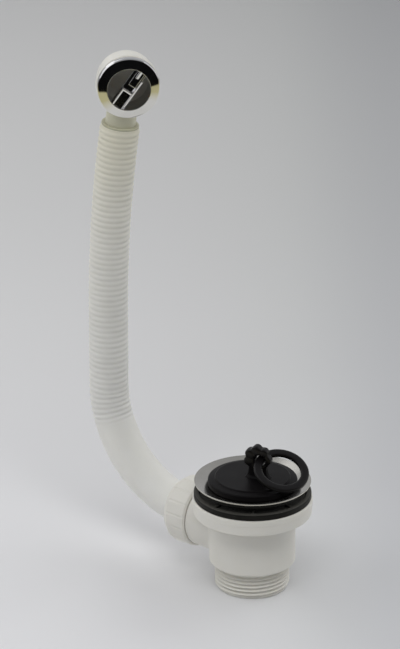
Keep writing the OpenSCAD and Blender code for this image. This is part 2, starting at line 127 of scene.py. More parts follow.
# A block with rounded edges. Its section is a rectangle with fillets, and towards both ends the section
# draws in by f (1 - sin k) while its height gains f cos k, so the end edges are rounded alike. A guard
# ring on each end face, and a guard row beside each rounding, keep the faces flat in smooth shading.
def block(centre, half, fillet=0.3, steps=4, guard=0.1):
    hx, hy, hz = half
    mostShare, capShare = 0.9, 0.1
    f = min(fillet, mostShare * min(half))
    section = filletPath([(hx, hy, f), (-hx, hy, f), (-hx, -hy, f), (hx, -hy, f)],
                         steps=steps, guard=guard)
    k = np.linspace(0, np.pi / 2, steps + 1)
    inset = np.concatenate([[f + capShare * (min(hx, hy) - f)], f * (1 - np.sin(k)), [0.0]])
    z = np.concatenate([[hz], hz - f + f * np.cos(k), [hz - f - guard]])
    inset, z = np.concatenate([inset, inset[::-1]]), np.concatenate([z, -z[::-1]])
    x = section[None, :, 0] * (1 - inset / hx)[:, None]
    y = section[None, :, 1] * (1 - inset / hy)[:, None]
    return np.stack([x, y, np.broadcast_to(z[:, None], x.shape)], -1) + np.array(centre)


# Points [row, column, xyz] in mm become quads between neighbouring rows and columns. Columns close
# into rings. Rows close as well when loop is true, otherwise each end is shut by a fan to its middle.
# The faces are turned outward by the sign of the volume they enclose.
def surface(name, points, body="waste", replaces=(), material=None, slotName=None, loop=True):
    rows, cols = points.shape[:2]
    at = np.arange(rows * cols).reshape(rows, cols)
    up = np.roll(at, -1, axis=0)
    if not loop:
        at, up = at[:-1], up[:-1]
    quads = np.stack([at, np.roll(at, -1, axis=1), np.roll(up, -1, axis=1), up], -1).reshape(-1, 4)
    verts = points.reshape(-1, 3)
    fans = np.zeros((0, 3), int)
    if not loop:
        n = rows * cols
        ring = np.arange(cols)
        last = ring + (rows - 1) * cols
        fans = np.concatenate([np.stack([np.roll(ring, -1), ring, np.full(cols, n)], -1),
                               np.stack([last, np.roll(last, -1), np.full(cols, n + 1)], -1)])
        verts = np.concatenate([verts, points[[0, -1]].mean(axis=1)])
    tris = np.concatenate([quads[:, [0, 1, 2]], quads[:, [0, 2, 3]], fans])
    a, b, c = verts[tris[:, 0]], verts[tris[:, 1]], verts[tris[:, 2]]
    if (a * np.cross(b, c)).sum() < 0:
        quads, fans = quads[:, ::-1], fans[:, ::-1]
    mesh = bpy.data.meshes.new(name)
    mesh.vertices.add(len(verts))
    mesh.vertices.foreach_set("co", (verts * mm).astype(np.float32).ravel())
    corners = np.concatenate([quads.ravel(), fans.ravel()]).astype(np.int32)
    sizes = np.concatenate([np.full(len(quads), 4), np.full(len(fans), 3)])
    starts = np.concatenate([[0], np.cumsum(sizes)[:-1]]).astype(np.int32)
    mesh.loops.add(len(corners))
    mesh.loops.foreach_set("vertex_index", corners)
    mesh.polygons.add(len(sizes))
    mesh.polygons.foreach_set("loop_start", starts)
    mesh.polygons.foreach_set("use_smooth", np.ones(len(sizes), bool))
    mesh.update(calc_edges=True)
    mesh.validate()
    obj = bpy.data.objects.new(name, mesh)
    bpy.context.scene.collection.objects.link(obj)
    if material is not None:
        mesh.materials.append(material)
    if body:
        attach(obj, body)
    if replaces:
        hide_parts(*replaces)
    return obj


# Cuts the given closed meshes out of a piece and removes them.
def cutAway(piece, cutters):
    for cutter in cutters:
        cut = piece.modifiers.new("cut", "BOOLEAN")
        cut.object = cutter
        cut.operation = "DIFFERENCE"
        cut.solver = "EXACT"
    view = bpy.context.evaluated_depsgraph_get()
    dressed = bpy.data.meshes.new_from_object(piece.evaluated_get(view))
    piece.modifiers.clear()
    piece.data = dressed
    for cutter in cutters:
        bpy.data.objects.remove(cutter)


# Local branch frame: z runs out along the branch from the waste's axis, as in the solids.
def onBranch(points, out=0.0):
    local = np.stack([points[..., 2] + out, points[..., 1], -points[..., 0]], -1)
    return local @ turnZ(branchAngle).T + np.array([0, 0, branchHeight])


# materials


# sRGB hex to linear RGBA.
def hexColour(code):
    c = np.array([int(code[i:i + 2], 16) for i in (1, 3, 5)]) / 255
    lin = np.where(c <= 0.04045, c / 12.92, ((c + 0.055) / 1.055) ** 2.4)
    return (*[float(v) for v in lin], 1.0)


# Adds a node. A setting is an attribute where the node has one of that name, else an input's value.
def addNode(tree, kind, settings=(), links=()):
    made = tree.nodes.new(kind)
    for key, value in dict(settings).items():
        if isinstance(key, str) and key in made.bl_rna.properties.keys():
            setattr(made, key, value)
        else:
            made.inputs[key].default_value = value
    for key, source in dict(links).items():
        tree.links.new(source, made.inputs[key])
    return made


def newMaterial(name):
    mat = bpy.data.materials.new(name)
    mat.use_nodes = True
    tree = mat.node_tree
    tree.nodes.clear()
    return mat, tree, addNode(tree, "ShaderNodeTexCoord").outputs["Object"]


def finishMaterial(tree, shader):
    addNode(tree, "ShaderNodeOutputMaterial", links={"Surface": shader.outputs[0]})


# Sockets of a Mix node that mixes colours: its share, its two colours and its result. Then the
# settings of one that multiplies its colours.
mixShare, mixFirst, mixSecond, mixResult = 0, 6, 7, 2
multiplied = {"data_type": "RGBA", "blend_type": "MULTIPLY", mixShare: 1.0}


# Colour that changes along one of the object's axes: stops of (distance in metres, sRGB hex).
def toneAlong(tree, where, axis, stops, blend="LINEAR"):
    parts = addNode(tree, "ShaderNodeSeparateXYZ", links={"Vector": where})
    first, last = stops[0][0], stops[-1][0]
    place = addNode(tree, "ShaderNodeMapRange", {"From Min": first, "From Max": last},
                    {"Value": parts.outputs[axis]})
    tones = addNode(tree, "ShaderNodeValToRGB", links={"Fac": place.outputs["Result"]})
    tones.color_ramp.interpolation = blend
    for i, (distance, code) in enumerate(stops):
        share = (distance - first) / (last - first)
        stop = tones.color_ramp.elements[i] if i < 2 else tones.color_ramp.elements.new(share)
        stop.position, stop.color = share, hexColour(code)
    return tones.outputs["Color"]


# Moulded or pressed surface: two tones mixed by a cloudy noise, roughness that wanders a little, and
# a fine bump from the mould or tool. Sizes and bump heights in mm. byHeight multiplies the tone by
# colours
# along the height: a stain and painted shade on the hose. The upward colour is mixed in on what faces
# upward: dust and painted light on the gasket.
def cloudyMaterial(name, look):
    mat, tree, where = newMaterial(name)
    grainDepth = 0.05
    cloud = addNode(tree, "ShaderNodeTexNoise",
                    {"Scale": 1 / (look["cloud"] * mm), "Detail": 3.0, "Roughness": 0.55},
                    {"Vector": where})
    grain = addNode(tree, "ShaderNodeTexNoise",
                    {"Scale": 1 / (look["grain"] * mm), "Detail": 2.0, "Roughness": 0.6},
                    {"Vector": where})
    tone = addNode(tree, "ShaderNodeMix",
                   {"data_type": "RGBA", mixFirst: hexColour(look["dark"]),
                    mixSecond: hexColour(look["light"])},
                   {mixShare: cloud.outputs["Fac"]})
    if "byHeight" in look:
        # Tone along the height: a stain together with painted shade.
        stainAndShade = toneAlong(tree, where, "Z", look["byHeight"], "B_SPLINE")
        tone = addNode(tree, "ShaderNodeMix", multiplied,
                       {mixFirst: tone.outputs[mixResult], mixSecond: stainAndShade})
    if "dustAndLight" in look:
        # What faces upward is lightened: dust together with painted light.
        normal = addNode(tree, "ShaderNodeNewGeometry").outputs["Normal"]
        facing = addNode(tree, "ShaderNodeSeparateXYZ", links={"Vector": normal})
        lying = addNode(tree, "ShaderNodeMapRange", {"From Min": 0.5, "From Max": 0.95, "To Max": 0.9},
                        {"Value": facing.outputs["Z"]})
        tone = addNode(tree, "ShaderNodeMix", {"data_type": "RGBA", mixSecond: hexColour(look["dustAndLight"])},
                       {mixShare: lying.outputs["Result"], mixFirst: tone.outputs[mixResult]})
    least, most = look["rough"]
    rough = addNode(tree, "ShaderNodeMapRange",
                    {"From Min": 0.3, "From Max": 0.7, "To Min": least, "To Max": most},
                    {"Value": cloud.outputs["Fac"]})
    bump = addNode(tree, "ShaderNodeBump", {"Strength": look["bump"], "Distance": grainDepth * mm},
                   {"Height": grain.outputs["Fac"]})
    shader = addNode(tree, "ShaderNodeBsdfPrincipled", look["shader"],
                     {"Base Color": tone.outputs[mixResult], "Roughness": rough.outputs["Result"],
                      "Normal": bump.outputs["Normal"]})
    finishMaterial(tree, shader)
    return mat


# Shader settings of a plastic or rubber that lets light in: radius in mm for red, green and blue.
def milky(ior, weight, radius):
    return {"IOR": ior, "Subsurface Weight": weight, "Subsurface Radius": tuple(r * mm for r in radius),
            "Subsurface Scale": 1.0}


# Polypropylene, injection moulded: warm white, half matt, light sinks a little way into it.
whitePlastic = cloudyMaterial("polypropylene_moulded", {
    "dark": "#DFDDD5", "light": "#E5E3DC",
    "cloud": 18, "grain": 0.35, "rough": (0.36, 0.46), "bump": 0.25,
    "shader": milky(1.49, 0.2, (1.4, 1.3, 1.1))})
# Polyethylene, blown and corrugated: milky, so light spreads in the thin wall and softens its ribs.
# Towards the top its tone is darker and yellower: a yellowing stain, and painted shade under the head.
hosePlastic = cloudyMaterial("polyethylene_blown", {
    "dark": "#F9F8F3", "light": "#FFFEFA",
    "cloud": 9, "grain": 0.5, "rough": (0.42, 0.54), "bump": 0.2,
    "byHeight": ((0.03, "#F6F6F2"), (0.12, "#F6F5EC"), (0.19, "#F5F3E8"), (0.25, "#E6E1CB")),
    "shader": milky(1.5, 0.8, (1.5, 1.5, 1.4))})
# The elbow's neck, thinner, and darker and yellower like the hose's top: a stain, and painted shade
# under the head.
neckPlastic = cloudyMaterial("polypropylene_yellowed_painted_shade", {
    "dark": "#CDCBB4", "light": "#D4D2BD",
    "cloud": 8, "grain": 0.4, "rough": (0.4, 0.5), "bump": 0.2,
    "shader": milky(1.49, 0.25, (1.2, 1.2, 1.0))})
# Nitrile rubber, compression moulded: black, lightened on what lies upward: dust, and painted light
# from the gap under the dish.
gasketRubber = cloudyMaterial("rubber_moulded", {
    "dark": "#0A0A09", "light": "#141311",
    "cloud": 7, "grain": 0.3, "rough": (0.5, 0.66), "bump": 0.3,
    "dustAndLight": "#4F4E4A", "shader": {"IOR": 1.5, "Specular IOR Level": 0.2}})
# Natural rubber of the plug's disc, dulled by use.
plugRubber = cloudyMaterial("rubber_plug", {
    "dark": "#0B0A0B", "light": "#151314",
    "cloud": 12, "grain": 0.4, "rough": (0.32, 0.44), "bump": 0.2,
    "shader": {"IOR": 1.5, "Specular IOR Level": 0.08}})
# The same rubber where fingers keep it smooth: ring and eye show soft highlights.
ringRubber = cloudyMaterial("rubber_ring", {
    "dark": "#0C0B0C", "light": "#161415",
    "cloud": 6, "grain": 0.4, "rough": (0.3, 0.4), "bump": 0.2,
    "shader": {"IOR": 1.5, "Specular IOR Level": 0.22}})
# Filled rubber of the cone seal: a dull mid grey.
greyRubber = cloudyMaterial("rubber_grey", {
    "dark": "#7A7A78", "light": "#8A8986",
    "cloud": 6, "grain": 0.3, "rough": (0.5, 0.6), "bump": 0.3,
    "shader": {"IOR": 1.52}})
# Silicone of the neck's sleeve: cloudy and yellowed, light passes deep into it.
milkyRubber = cloudyMaterial("silicone_milky", {
    "dark": "#B5B39B", "light": "#BFBDA6",
    "cloud": 6, "grain": 0.4, "rough": (0.4, 0.5), "bump": 0.15,
    "shader": milky(1.41, 0.5, (2, 2, 2))})
# Closed-cell polyethylene foam: pale, very matt, pitted like fine bread.
paleFoam = cloudyMaterial("foam_closed_cell", {
    "dark": "#B9B6AC", "light": "#D6D3CB",
    "cloud": 1.2, "grain": 0.45, "rough": (0.8, 0.95), "bump": 0.9,
    "shader": {"IOR": 1.3}})
# Chromed ABS: a mirror with the faintest haze from handling.
chromedPlastic = cloudyMaterial("abs_chromed", {
    "dark": "#C9C9CB", "light": "#D9D9DA",
    "cloud": 14, "grain": 2.0, "rough": (0.04, 0.09), "bump": 0.02,
    "shader": {"Metallic": 1.0}})
# Stainless steel, pressed and polished: a soft sheen.
pressedSteel = cloudyMaterial("stainless_pressed", {
    "dark": "#AEACA7", "light": "#BFBDB8",
    "cloud": 10, "grain": 0.3, "rough": (0.16, 0.24), "bump": 0.05,
    "shader": {"Metallic": 1.0}})
# Stainless steel, turned: duller, with fine tool marks.
turnedSteel = cloudyMaterial("stainless_turned", {
    "dark": "#A3A19C", "light": "#B9B7B2",
    "cloud": 3, "grain": 0.2, "rough": (0.2, 0.34), "bump": 0.2,
    "shader": {"Metallic": 1.0}})
# Brass, turned: a muted gold with fine tool marks.
turnedBrass = cloudyMaterial("brass_turned", {
    "dark": "#B08D4A", "light": "#C6A35C",
    "cloud": 4, "grain": 0.2, "rough": (0.24, 0.36), "bump": 0.2,
    "shader": {"Metallic": 1.0}})

# What a surface of each kind wears.
whitePart = {"material": whitePlastic, "slotName": "white_plastic"}
nutPart = {"material": whitePlastic, "slotName": "nut_plastic"}
neckPart = {"material": neckPlastic, "slotName": "white_plastic"}
hosePart = {"material": hosePlastic, "slotName": "hose_plastic"}
gasketPart = {"material": gasketRubber, "slotName": "black_rubber"}
plugPart = {"material": plugRubber, "slotName": "plug_rubber"}
ringPart = {"material": ringRubber, "slotName": "plug_rubber"}
steelPart = {"material": pressedSteel, "slotName": "pressed_steel"}
chromePart = {"material": chromedPlastic, "slotName": "chromed_plastic"}
print("stage 2: materials made")

# waste body

wasteBody = {
    "bore": 17.6,
    "boreStart": 8.0,         # heights in the bore at which the outline starts and ends
    "boreEnd": 9.0,
    "pitch": 2.309,           # G 1 1/4
    "root": 19.5,
    "crest": 20.95,
    "threadFrom": 0.7,
    "threadTo": 15.0,
    "flankFoot": 0.9,         # half a pitch is 1: where a flank starts, and how wide it is
    "flankWidth": 0.76,
    "fadeIn": 1.2,
    "fadeOut": 1.4,
    "tailTop": 15.9,
    "body": 24.15,
    "flangeLow": 51.0,
    "flange": 33.6,
    "flangeTop": 54.6,
    "skirtIn": 31.2,
    "skirtOut": 33.2,
    "skirtLow": 45.4,
    "chamber": 20.95,
    "chamberLow": 19.3,
    "chamberTop": 49.6,
    "funnelLow": 16.5,
    "rowStep": 0.08,
    "columns": 200,
}


# The body is revolved. On the tail the thread's crest climbs one pitch a turn; its flanks are straight,
# with flats at crest and root, and it fades in and out at the ends.
def makeBody(s):
    bore, root, chamber, flange = s["bore"], s["root"], s["chamber"], s["flange"]
    low = filletPath([(bore, s["boreStart"]), (bore, 0, 0.3), (root, 0, 0.5),
                      (root, s["threadFrom"] - 0.1)], closed=False)
    rows = np.arange(s["threadFrom"], s["threadTo"], s["rowStep"])
    mid = np.stack([np.full_like(rows, root), rows], -1)
    high = filletPath([(root, s["threadTo"] + 0.1), (root, s["tailTop"], 0.4),
                       (s["body"], s["tailTop"], 0.9), (s["body"], s["flangeLow"], 0.8),
                       (s["skirtIn"], s["flangeLow"], 0.7),
                       (s["skirtIn"], s["skirtLow"], 0.4), (s["skirtOut"], s["skirtLow"], 0.6),
                       (s["skirtOut"] + 0.2, s["flangeLow"], 0.1), (flange, s["flangeLow"] + 0.2, 0.1),
                       (flange, s["flangeTop"], 0.8), (chamber + 0.15, s["flangeTop"], 0.9),
                       (chamber, s["chamberTop"], 1.0), (chamber, s["chamberLow"], 1.5),
                       (bore, s["funnelLow"], 0.4), (bore, s["boreEnd"])], closed=False)
    path = np.concatenate([low, mid, high])
    pts = revolve(path, s["columns"])
    t = fullTurn(s["columns"])
    z = path[:, 1:]
    phase = np.mod(z / s["pitch"] - t / (2 * np.pi), 1.0)
    fromCrest = np.abs(phase - 0.5) * 2
    height = np.clip((s["flankFoot"] - fromCrest) / s["flankWidth"], 0, 1)
    fadeIn = ramp(z, s["threadFrom"], s["threadFrom"] + s["fadeIn"])
    fadeOut = 1 - ramp(z, s["threadTo"] - s["fadeOut"], s["threadTo"])
    onThread = np.abs(path[:, :1] - root) < 0.01
    grow = (s["crest"] - root) * height * (fadeIn * fadeOut) * onThread
    pts[..., :2] *= (1 + grow / root)[..., None]
    return surface("waste_body_shell", pts, replaces=["waste_body"], **whitePart)


branchPipe = {
    "outer": 17.8,
    "outerFrom": 31.0,        # where the round pipe takes over from the flare
    "threadCrest": 16.2,
    "groove": 16.1,
    "grooveLength": 0.9,
    "collarEnd": 34.6,
    "threadFrom": 36.6,
    "end": 46.1,
    "bore": 13.85,
    "boreTo": 30.0,
    "flare": 1.6,
    "flareRows": 9,
    "sunkOut": 1.4,           # how far the pipe's outside and its bore reach into the body's wall
    "sunkIn": 2.2,
    "wayFrom": 16.0,          # the way is cut from here to boreTo, a little narrower than the bore
    "wayInset": 0.05,
    "wayColumns": 96,
    "columns": 144,
}


# Outer skin of the branch: a pipe that starts on the body's cylinder. At ring angle t the cylinder of
# radius w is met at distance sqrt(w^2 - (r sin t)^2), and a quarter circle flares the pipe onto it.
# The way through the body's wall is cut out of the shell.
def makeBranch(s, shell, wall):
    t = fullTurn(s["columns"])[None]

    def met(r, w):
        return np.sqrt(np.maximum(w ** 2 - (r * np.sin(t)) ** 2, 1.0))

    a = np.linspace(0, np.pi / 2, s["flareRows"])[:, None]
    rFlare = s["outer"] + s["flare"] * (1 - np.sin(a)) + 0 * t
    dFlare = met(rFlare, wall) + s["flare"] * (1 - np.cos(a))
    rIn = np.full_like(t, s["outer"] + s["flare"])
    rBore = np.full_like(t, s["bore"])
    path = filletPath([(s["outer"], s["outerFrom"]), (s["outer"], s["collarEnd"], 0.6),
                       (s["groove"], s["collarEnd"], 0.1),
                       (s["groove"], s["collarEnd"] + s["grooveLength"], 0.1),
                       (s["threadCrest"], s["threadFrom"], 0.1), (s["threadCrest"], s["end"], 0.6),
                       (s["bore"], s["end"], 0.3), (s["bore"], s["boreTo"])], closed=False)
    r = np.concatenate([rIn, rFlare, path[:, :1] + 0 * t, rBore])
    d = np.concatenate([met(rIn, wall - s["sunkOut"]), dFlare, path[:, 1:] + 0 * t,
                        met(rBore, wall - s["sunkIn"])])
    pts = np.stack([r * np.cos(t), r * np.sin(t), d], -1)
    surface("waste_body_branch", onBranch(pts), replaces=["waste_body"], **whitePart)
    radius = s["bore"] - s["wayInset"]
    way = revolve(np.array([[radius, s["wayFrom"]], [radius, s["boreTo"]]]), s["wayColumns"])
    cutAway(shell, [surface("branch_way", onBranch(way), body=None, loop=False)])


makeBranch(branchPipe, makeBody(wasteBody), wasteBody["body"])
print("stage 3: waste body made")

# spider and ribs

spider = {
    "hub": 8.8,
    "low": 16.5,
    "high": 27.9,
    "flats": 12.1,            # width across the flats of the nut's pocket
    "pocket": 7.0,            # radius at which the pocket is revolved before it becomes a hexagon
    "pocketReach": 0.6,       # how far from that radius its fillet points lie at most
    "pocketTop": 25.55,
    "screwWay": 3.25,
    "columns": 120,
    # blocks that repeat round the axis: name, count, first angle from the branch, middle, half sizes
    "blocks": (
        ("spider_arm", 4, 45.0, (14.9, 0.0, 23.7), (6.7, 1.4, 3.2)),
        ("flange_rib", 8, 22.5, (27.6, 0.0, 49.0), (3.7, 0.9, 2.4)),
    ),
}


# The hub is revolved round the screw's way. Its pocket is a hexagon: radius = half the flats divided by
# the cosine of the angle from the middle of a flat.
def makeSpider(s):
    pocket = s["pocket"]
    path = filletPath([(s["hub"], s["low"], 0.5), (s["hub"], s["high"], 0.8),
                       (s["screwWay"], s["high"], 0.3), (s["screwWay"], s["pocketTop"], 0.1),
                       (pocket, s["pocketTop"], 0.1), (pocket, s["low"], 0.1)])
    pts = revolve(path, s["columns"])
    t = fullTurn(s["columns"])
    hexagon = s["flats"] / 2 / np.cos(np.mod(t + np.pi / 6, np.pi / 3) - np.pi / 6) / pocket
    inPocket = np.abs(path[:, :1] - pocket) < s["pocketReach"]
    pts[..., :2] *= np.where(inPocket, hexagon, 1.0)[..., None]
    surface("spider_hub", pts, replaces=["waste_body"], **whitePart)
    for name, count, first, middle, half in s["blocks"]:
        for i in range(count):
            part = block(middle, half) @ turnZ(branchAngle + first + 360 / count * i).T
            surface("%s_%d" % (name, i + 1), part, loop=False, replaces=["waste_body"], **whitePart)


makeSpider(spider)
print("stage 4: spider made")

# hose

hose = {
    "outer": 11.25,
    "rib": 0.5,
    "ribShape": 1.2,          # power of the cosine: above 1 the grooves are narrower than the ribs
    "wall": 0.45,
    "plainWall": 0.65,
    "pitch": 3.2,
    "cuff": 1.0,              # the groove's depth is kept over this length at the hose's upper end
    "cuffRows": (0.5, 0.1, 0.0),
    "chamfer": 0.08,
    "inner": 33.7,            # distance from the waste's axis to the hose's inner end
    "bendStart": 45.6,
    "bend": 60.4,
    "rise": 42.2,
    "leanRadius": 876.0,
    "lean": 7.5,
    "ribAngle": 66.0,         # how far round the bend the first rib lies
    "fadeRibs": 2.2,          # ribs over which their depth grows
    "columns": 60,
    "plainRows": 48,
    "rowsPerRib": 10,
}
azimuth = math.radians(branchAngle)
outDir = np.array([math.cos(azimuth), math.sin(azimuth), 0])
lenIn = hose["bendStart"] - hose["inner"]
lenBend = hose["bend"] * math.pi / 2
lenLean = hose["leanRadius"] * math.radians(hose["lean"])
hoseLength = lenIn + lenBend + hose["rise"] + lenLean


# The hose's centre line by distance s: straight out of the branch, a quarter bend of radius bend up
# to the vertical, straight up, then a wide arc leaning to +X. Also its two cross directions.
def hoseFrame(s):
    s = s[:, None]
    z = np.array([0, 0, 1.0])
    side = np.array([-math.sin(azimuth), math.cos(azimuth), 0])
    a = np.clip((s - lenIn) / hose["bend"], 0, np.pi / 2)
    b = np.clip((s - lenIn - lenBend - hose["rise"]) / hose["leanRadius"], 0, None)
    flat = np.minimum(s, lenIn)
    up = np.clip(s - lenIn - lenBend, 0, hose["rise"])
    out = hose["inner"] + flat + hose["bend"] * np.sin(a)
    height = branchHeight + hose["bend"] * (1 - np.cos(a)) + up + hose["leanRadius"] * np.sin(b)
    leanOut = np.array([1.0, 0, 0]) * hose["leanRadius"] * (1 - np.cos(b))
    centre = outDir * out + z * height + leanOut
    inward = -outDir * np.sin(a) + z * np.cos(a)

    def leaned(v):
        return np.stack([v[:, 0] * np.cos(b[:, 0]) + v[:, 2] * np.sin(b[:, 0]), v[:, 1],
                         -v[:, 0] * np.sin(b[:, 0]) + v[:, 2] * np.cos(b[:, 0])], -1)

    return centre, leaned(side + 0 * inward), leaned(inward)


# Rings of radius r about the centre line.
def hoseSkin(s, r, columns):
    centre, across, inward = hoseFrame(s)
    t = fullTurn(columns)
    ring = across[:, None] * np.cos(t)[None, :, None] + inward[:, None] * np.sin(t)[None, :, None]
    return centre[:, None] + ring * r[:, None, None]


# Its ribs: radius = outer - depth ((1 + cos of the phase) / 2)^shape, one turn of phase to a rib. The
# depth grows over the first ribs and stays full on the cuff.
def makeHose(h):
    plain = lenIn + lenBend * h["ribAngle"] / 90
    ribs = round((hoseLength - plain - h["cuff"]) / h["pitch"])
    step = (hoseLength - plain - h["cuff"]) / ribs
    ribsEnd = plain + ribs * step
    s = np.concatenate([np.linspace(0, plain, h["plainRows"], endpoint=False),
                        np.linspace(plain, ribsEnd, ribs * h["rowsPerRib"] + 1),
                        hoseLength - np.array(h["cuffRows"])])
    phase = (s - plain) / step
    groove = (0.5 + 0.5 * np.cos(2 * np.pi * phase)) ** h["ribShape"]
    fade = ramp(s, plain - 0.2, plain + h["fadeRibs"] * step)
    r = h["outer"] - h["rib"] * np.where(s > ribsEnd, 1.0, groove) * fade
    r[-1] -= h["chamfer"]
    wall = h["plainWall"] + (h["wall"] - h["plainWall"]) * fade
    outer = hoseSkin(s, r, h["columns"])
    inner = hoseSkin(s[::-1], (r - wall)[::-1], h["columns"])
    skin = np.concatenate([outer, inner])
    surface("overflow_hose_skin", skin, replaces=["overflow_hose"], **hosePart)


makeHose(hose)
print("stage 5: hose made")

# compression nut

branchNut = {
    "radius": 19.2,
    "flats": 16,
    "start": 34.9,
    "length": 16.2,
    "taper": 3.6,
    "lip": 1.8,
    "bore": 16.35,
    "hole": 11.65,
    "groove": 0.55,           # depth of a grip groove, and half its width
    "grooveWidth": 0.55,
    "even": 1.004,            # shape at which the radius stays as it is
    "columns": 320,
}


# The nut's outside is a polygon: radius = inradius / cos(angle from the flat's middle), with a narrow
# bell-shaped groove at each corner, and the radial detail fades out on the chamfers.
def makeNut(s):
    n, r0 = s["length"], s["radius"]
    path = filletPath([(s["bore"], 0, 0.3), (r0 - 0.9, 0, 0.3), (r0, 1.0, 0.5),
                       (r0, n - s["taper"], 1.4), (r0 - 0.7 * s["taper"], n, 0.6), (s["hole"], n, 0.4),
                       (s["hole"], n - s["lip"], 0.2), (s["bore"], n - s["lip"], 0.3)])
    pts = revolve(path, s["columns"])
    t = fullTurn(s["columns"])
    part = 2 * np.pi / s["flats"]
    fromMiddle = np.mod(t + part / 2, part) - part / 2
    fromCorner = part / 2 - np.abs(fromMiddle)
    bell = np.exp(-(fromCorner * r0 / s["grooveWidth"]) ** 2)
    shape = 1 / np.cos(fromMiddle) - s["groove"] / r0 * bell
    weight = ramp(path[:, :1], r0 - 1.6, r0 - 0.2)
    pts[..., :2] *= (1 + (shape[None] - s["even"]) * weight)[..., None]
    surface("branch_nut_skin", onBranch(pts, s["start"]), replaces=["branch_nut"], **nutPart)


makeNut(branchNut)
print("stage 6: nut made")

# gasket, strainer

gasket = {
    "low": 54.6,
    "high": 58.1,
    "outer": 32.9,
    "inner": 22.7,
    "grooveOut": 30.2,
    "grooveIn": 25.3,
    "grooveDepth": 0.95,
    "ribs": 8,
    "ribAt": 28.1,
    "ribHalf": (2.3, 0.8, 0.85),
    "columns": 160,
}


# A flat ring with a shallow groove in its top, bridged by short ribs.
def makeGasket(s):
    h = s["high"]
    floor = h - s["grooveDepth"]
    path = filletPath([(s["inner"], s["low"], 0.2), (s["outer"], s["low"], 0.5), (s["outer"], h, 0.8),
                       (s["grooveOut"], h, 0.5), (s["grooveOut"] - 0.5, floor, 0.3),
                       (s["grooveIn"] + 0.7, floor, 0.3), (s["grooveIn"], h, 0.4),
                       (s["inner"], h, 0.4)])
    surface("body_gasket_ring", revolve(path, s["columns"]), replaces=["body_gasket"], **gasketPart)
    for i in range(s["ribs"]):
        rib = block((s["ribAt"], 0, h - s["ribHalf"][2]), s["ribHalf"], fillet=0.4)
        turned = rib @ turnZ(360 / s["ribs"] * i).T
        surface("body_gasket_rib_%d" % (i + 1), turned, loop=False, **gasketPart)


makeGasket(gasket)

dish = {
    "outer": 32.8,
    "cup": 18.6,
    "sheet": 1.5,
    "rim": 1.0,               # the sheet is thinned where its edge is rolled
    "floor": 53.8,
    "brow": (21.6, 61.1),     # radius and height of the step between the cup and the slope
    "slopeFrom": 24.6,
    "seat": 62.2,
    "slopeRise": 2.63,
    "screwWay": 3.3,
    "holes": 6,
    "holeCircle": 12.4,
    "hole": 3.5,
    "cutBelow": 4.0,          # how far the hole's cutter reaches below and above the cup's floor
    "cutAbove": 3.0,
    "columns": 192,
    "holeColumns": 48,
}


# Pressed sheet: the upper outline runs from the screw's way down in the cup, up its wall, over the seat
# and out along the slope to the rolled rim, and the lower outline follows it one sheet below.
def makeDish(s):
    rim, under = s["seat"] + s["slopeRise"], s["seat"] - s["sheet"] - 0.1
    cup, floor, cupOut = s["cup"], s["floor"], s["cup"] + s["sheet"]
    browR, browZ = s["brow"]
    path = filletPath([(s["screwWay"], floor, 0.2), (cup, floor, 1.2), (cup, browZ - 0.8, 2.0),
                       (browR, browZ, 2.5), (s["slopeFrom"], s["seat"], 2.5), (s["outer"], rim, 0.45),
                       (s["outer"] - 0.3, rim - s["rim"], 0.4), (s["slopeFrom"], under, 2.5),
                       (browR - 0.2, browZ - 1.6, 2.5), (cupOut, browZ - 2.7, 1.0),
                       (cupOut, floor - s["sheet"], 1.6), (s["screwWay"], floor - s["sheet"], 0.2)])
    plate = surface("strainer_dish", revolve(path, s["columns"]), replaces=["strainer"], **steelPart)
    hole = revolve(np.array([[s["hole"], floor - s["cutBelow"]], [s["hole"], floor + s["cutAbove"]]]),
                   s["holeColumns"])
    cuts = []
    for i in range(s["holes"]):
        turned = (hole + np.array([s["holeCircle"], 0, 0])) @ turnZ((i + 0.5) * 360 / s["holes"]).T
        cuts.append(surface("strainer_way", turned, body=None, loop=False))
    cutAway(plate, cuts)


makeDish(dish)

# plug

plug = {
    "core": 0.5,              # radius at which the faces end in a fan
    "low": 56.6,
    "foot": 17.0,
    # underside, corners of radius, height and fillet: it follows the dish's cup, brow and slope
    "under": ((18.1, 58.7, 0.6), (18.7, 60.1, 0.5), (21.6, 61.15, 0.6), (24.6, 62.3, 0.2),
              (25.0, 62.6, 0.3)),
    "lip": 25.0,
    "lipTop": 65.4,
    "disc": 20.8,
    "top": 67.1,
    "columns": 160,
}


# The plug is revolved: a stepped underside, a lip that seals on the dish, and a raised disc on top.
def makePlug(s):
    path = filletPath([(s["core"], s["low"]), (s["foot"], s["low"], 0.8), *s["under"],
                       (s["lip"], s["lipTop"], 0.8), (s["lip"] - 0.8, s["lipTop"] + 0.4, 0.5),
                       (s["disc"] + 0.5, s["top"] - 0.8, 0.4), (s["disc"], s["top"], 0.5),
                       (s["core"], s["top"])], closed=False)
    surface("plug_disc", revolve(path, s["columns"]), replaces=["plug"], loop=False, **plugPart)


makePlug(plug)

lug = {
    "turn": -22.0,
    "eye": (3.2, 78.2),
    "hole": (5.0, 77.9),
    "holeRadius": 3.0,
    "body": 7.0,
    "beadCircle": 5.4,
    "bead": 2.7,
    "beadAngles": (0, 49, 98, 147, 196),
    "join": 6.0,              # how sharply the beads part from the disc, per mm
    "half": 2.8,
    "swell": (0.8, 0.28),     # thickness at the narrowest place, and what the widest adds
    "power": 0.5,
    "columns": 180,
    "sectionRows": 40,
    # the neck under it: heights, its middle and how far that shifts on the way up, half sizes at the
    # foot, what the larger one loses on the way up, and the flare onto the disc
    "neckLow": 66.4,
    "neckHigh": 75.0,
    "neckAt": 3.4,
    "neckShift": 0.2,
    "neckHalf": (5.9, 2.35),
    "neckTaper": 0.9,
    "flare": 1.6,
    "flareHeight": 1.1,
    "neckRows": 24,
    "neckColumns": 72,
}


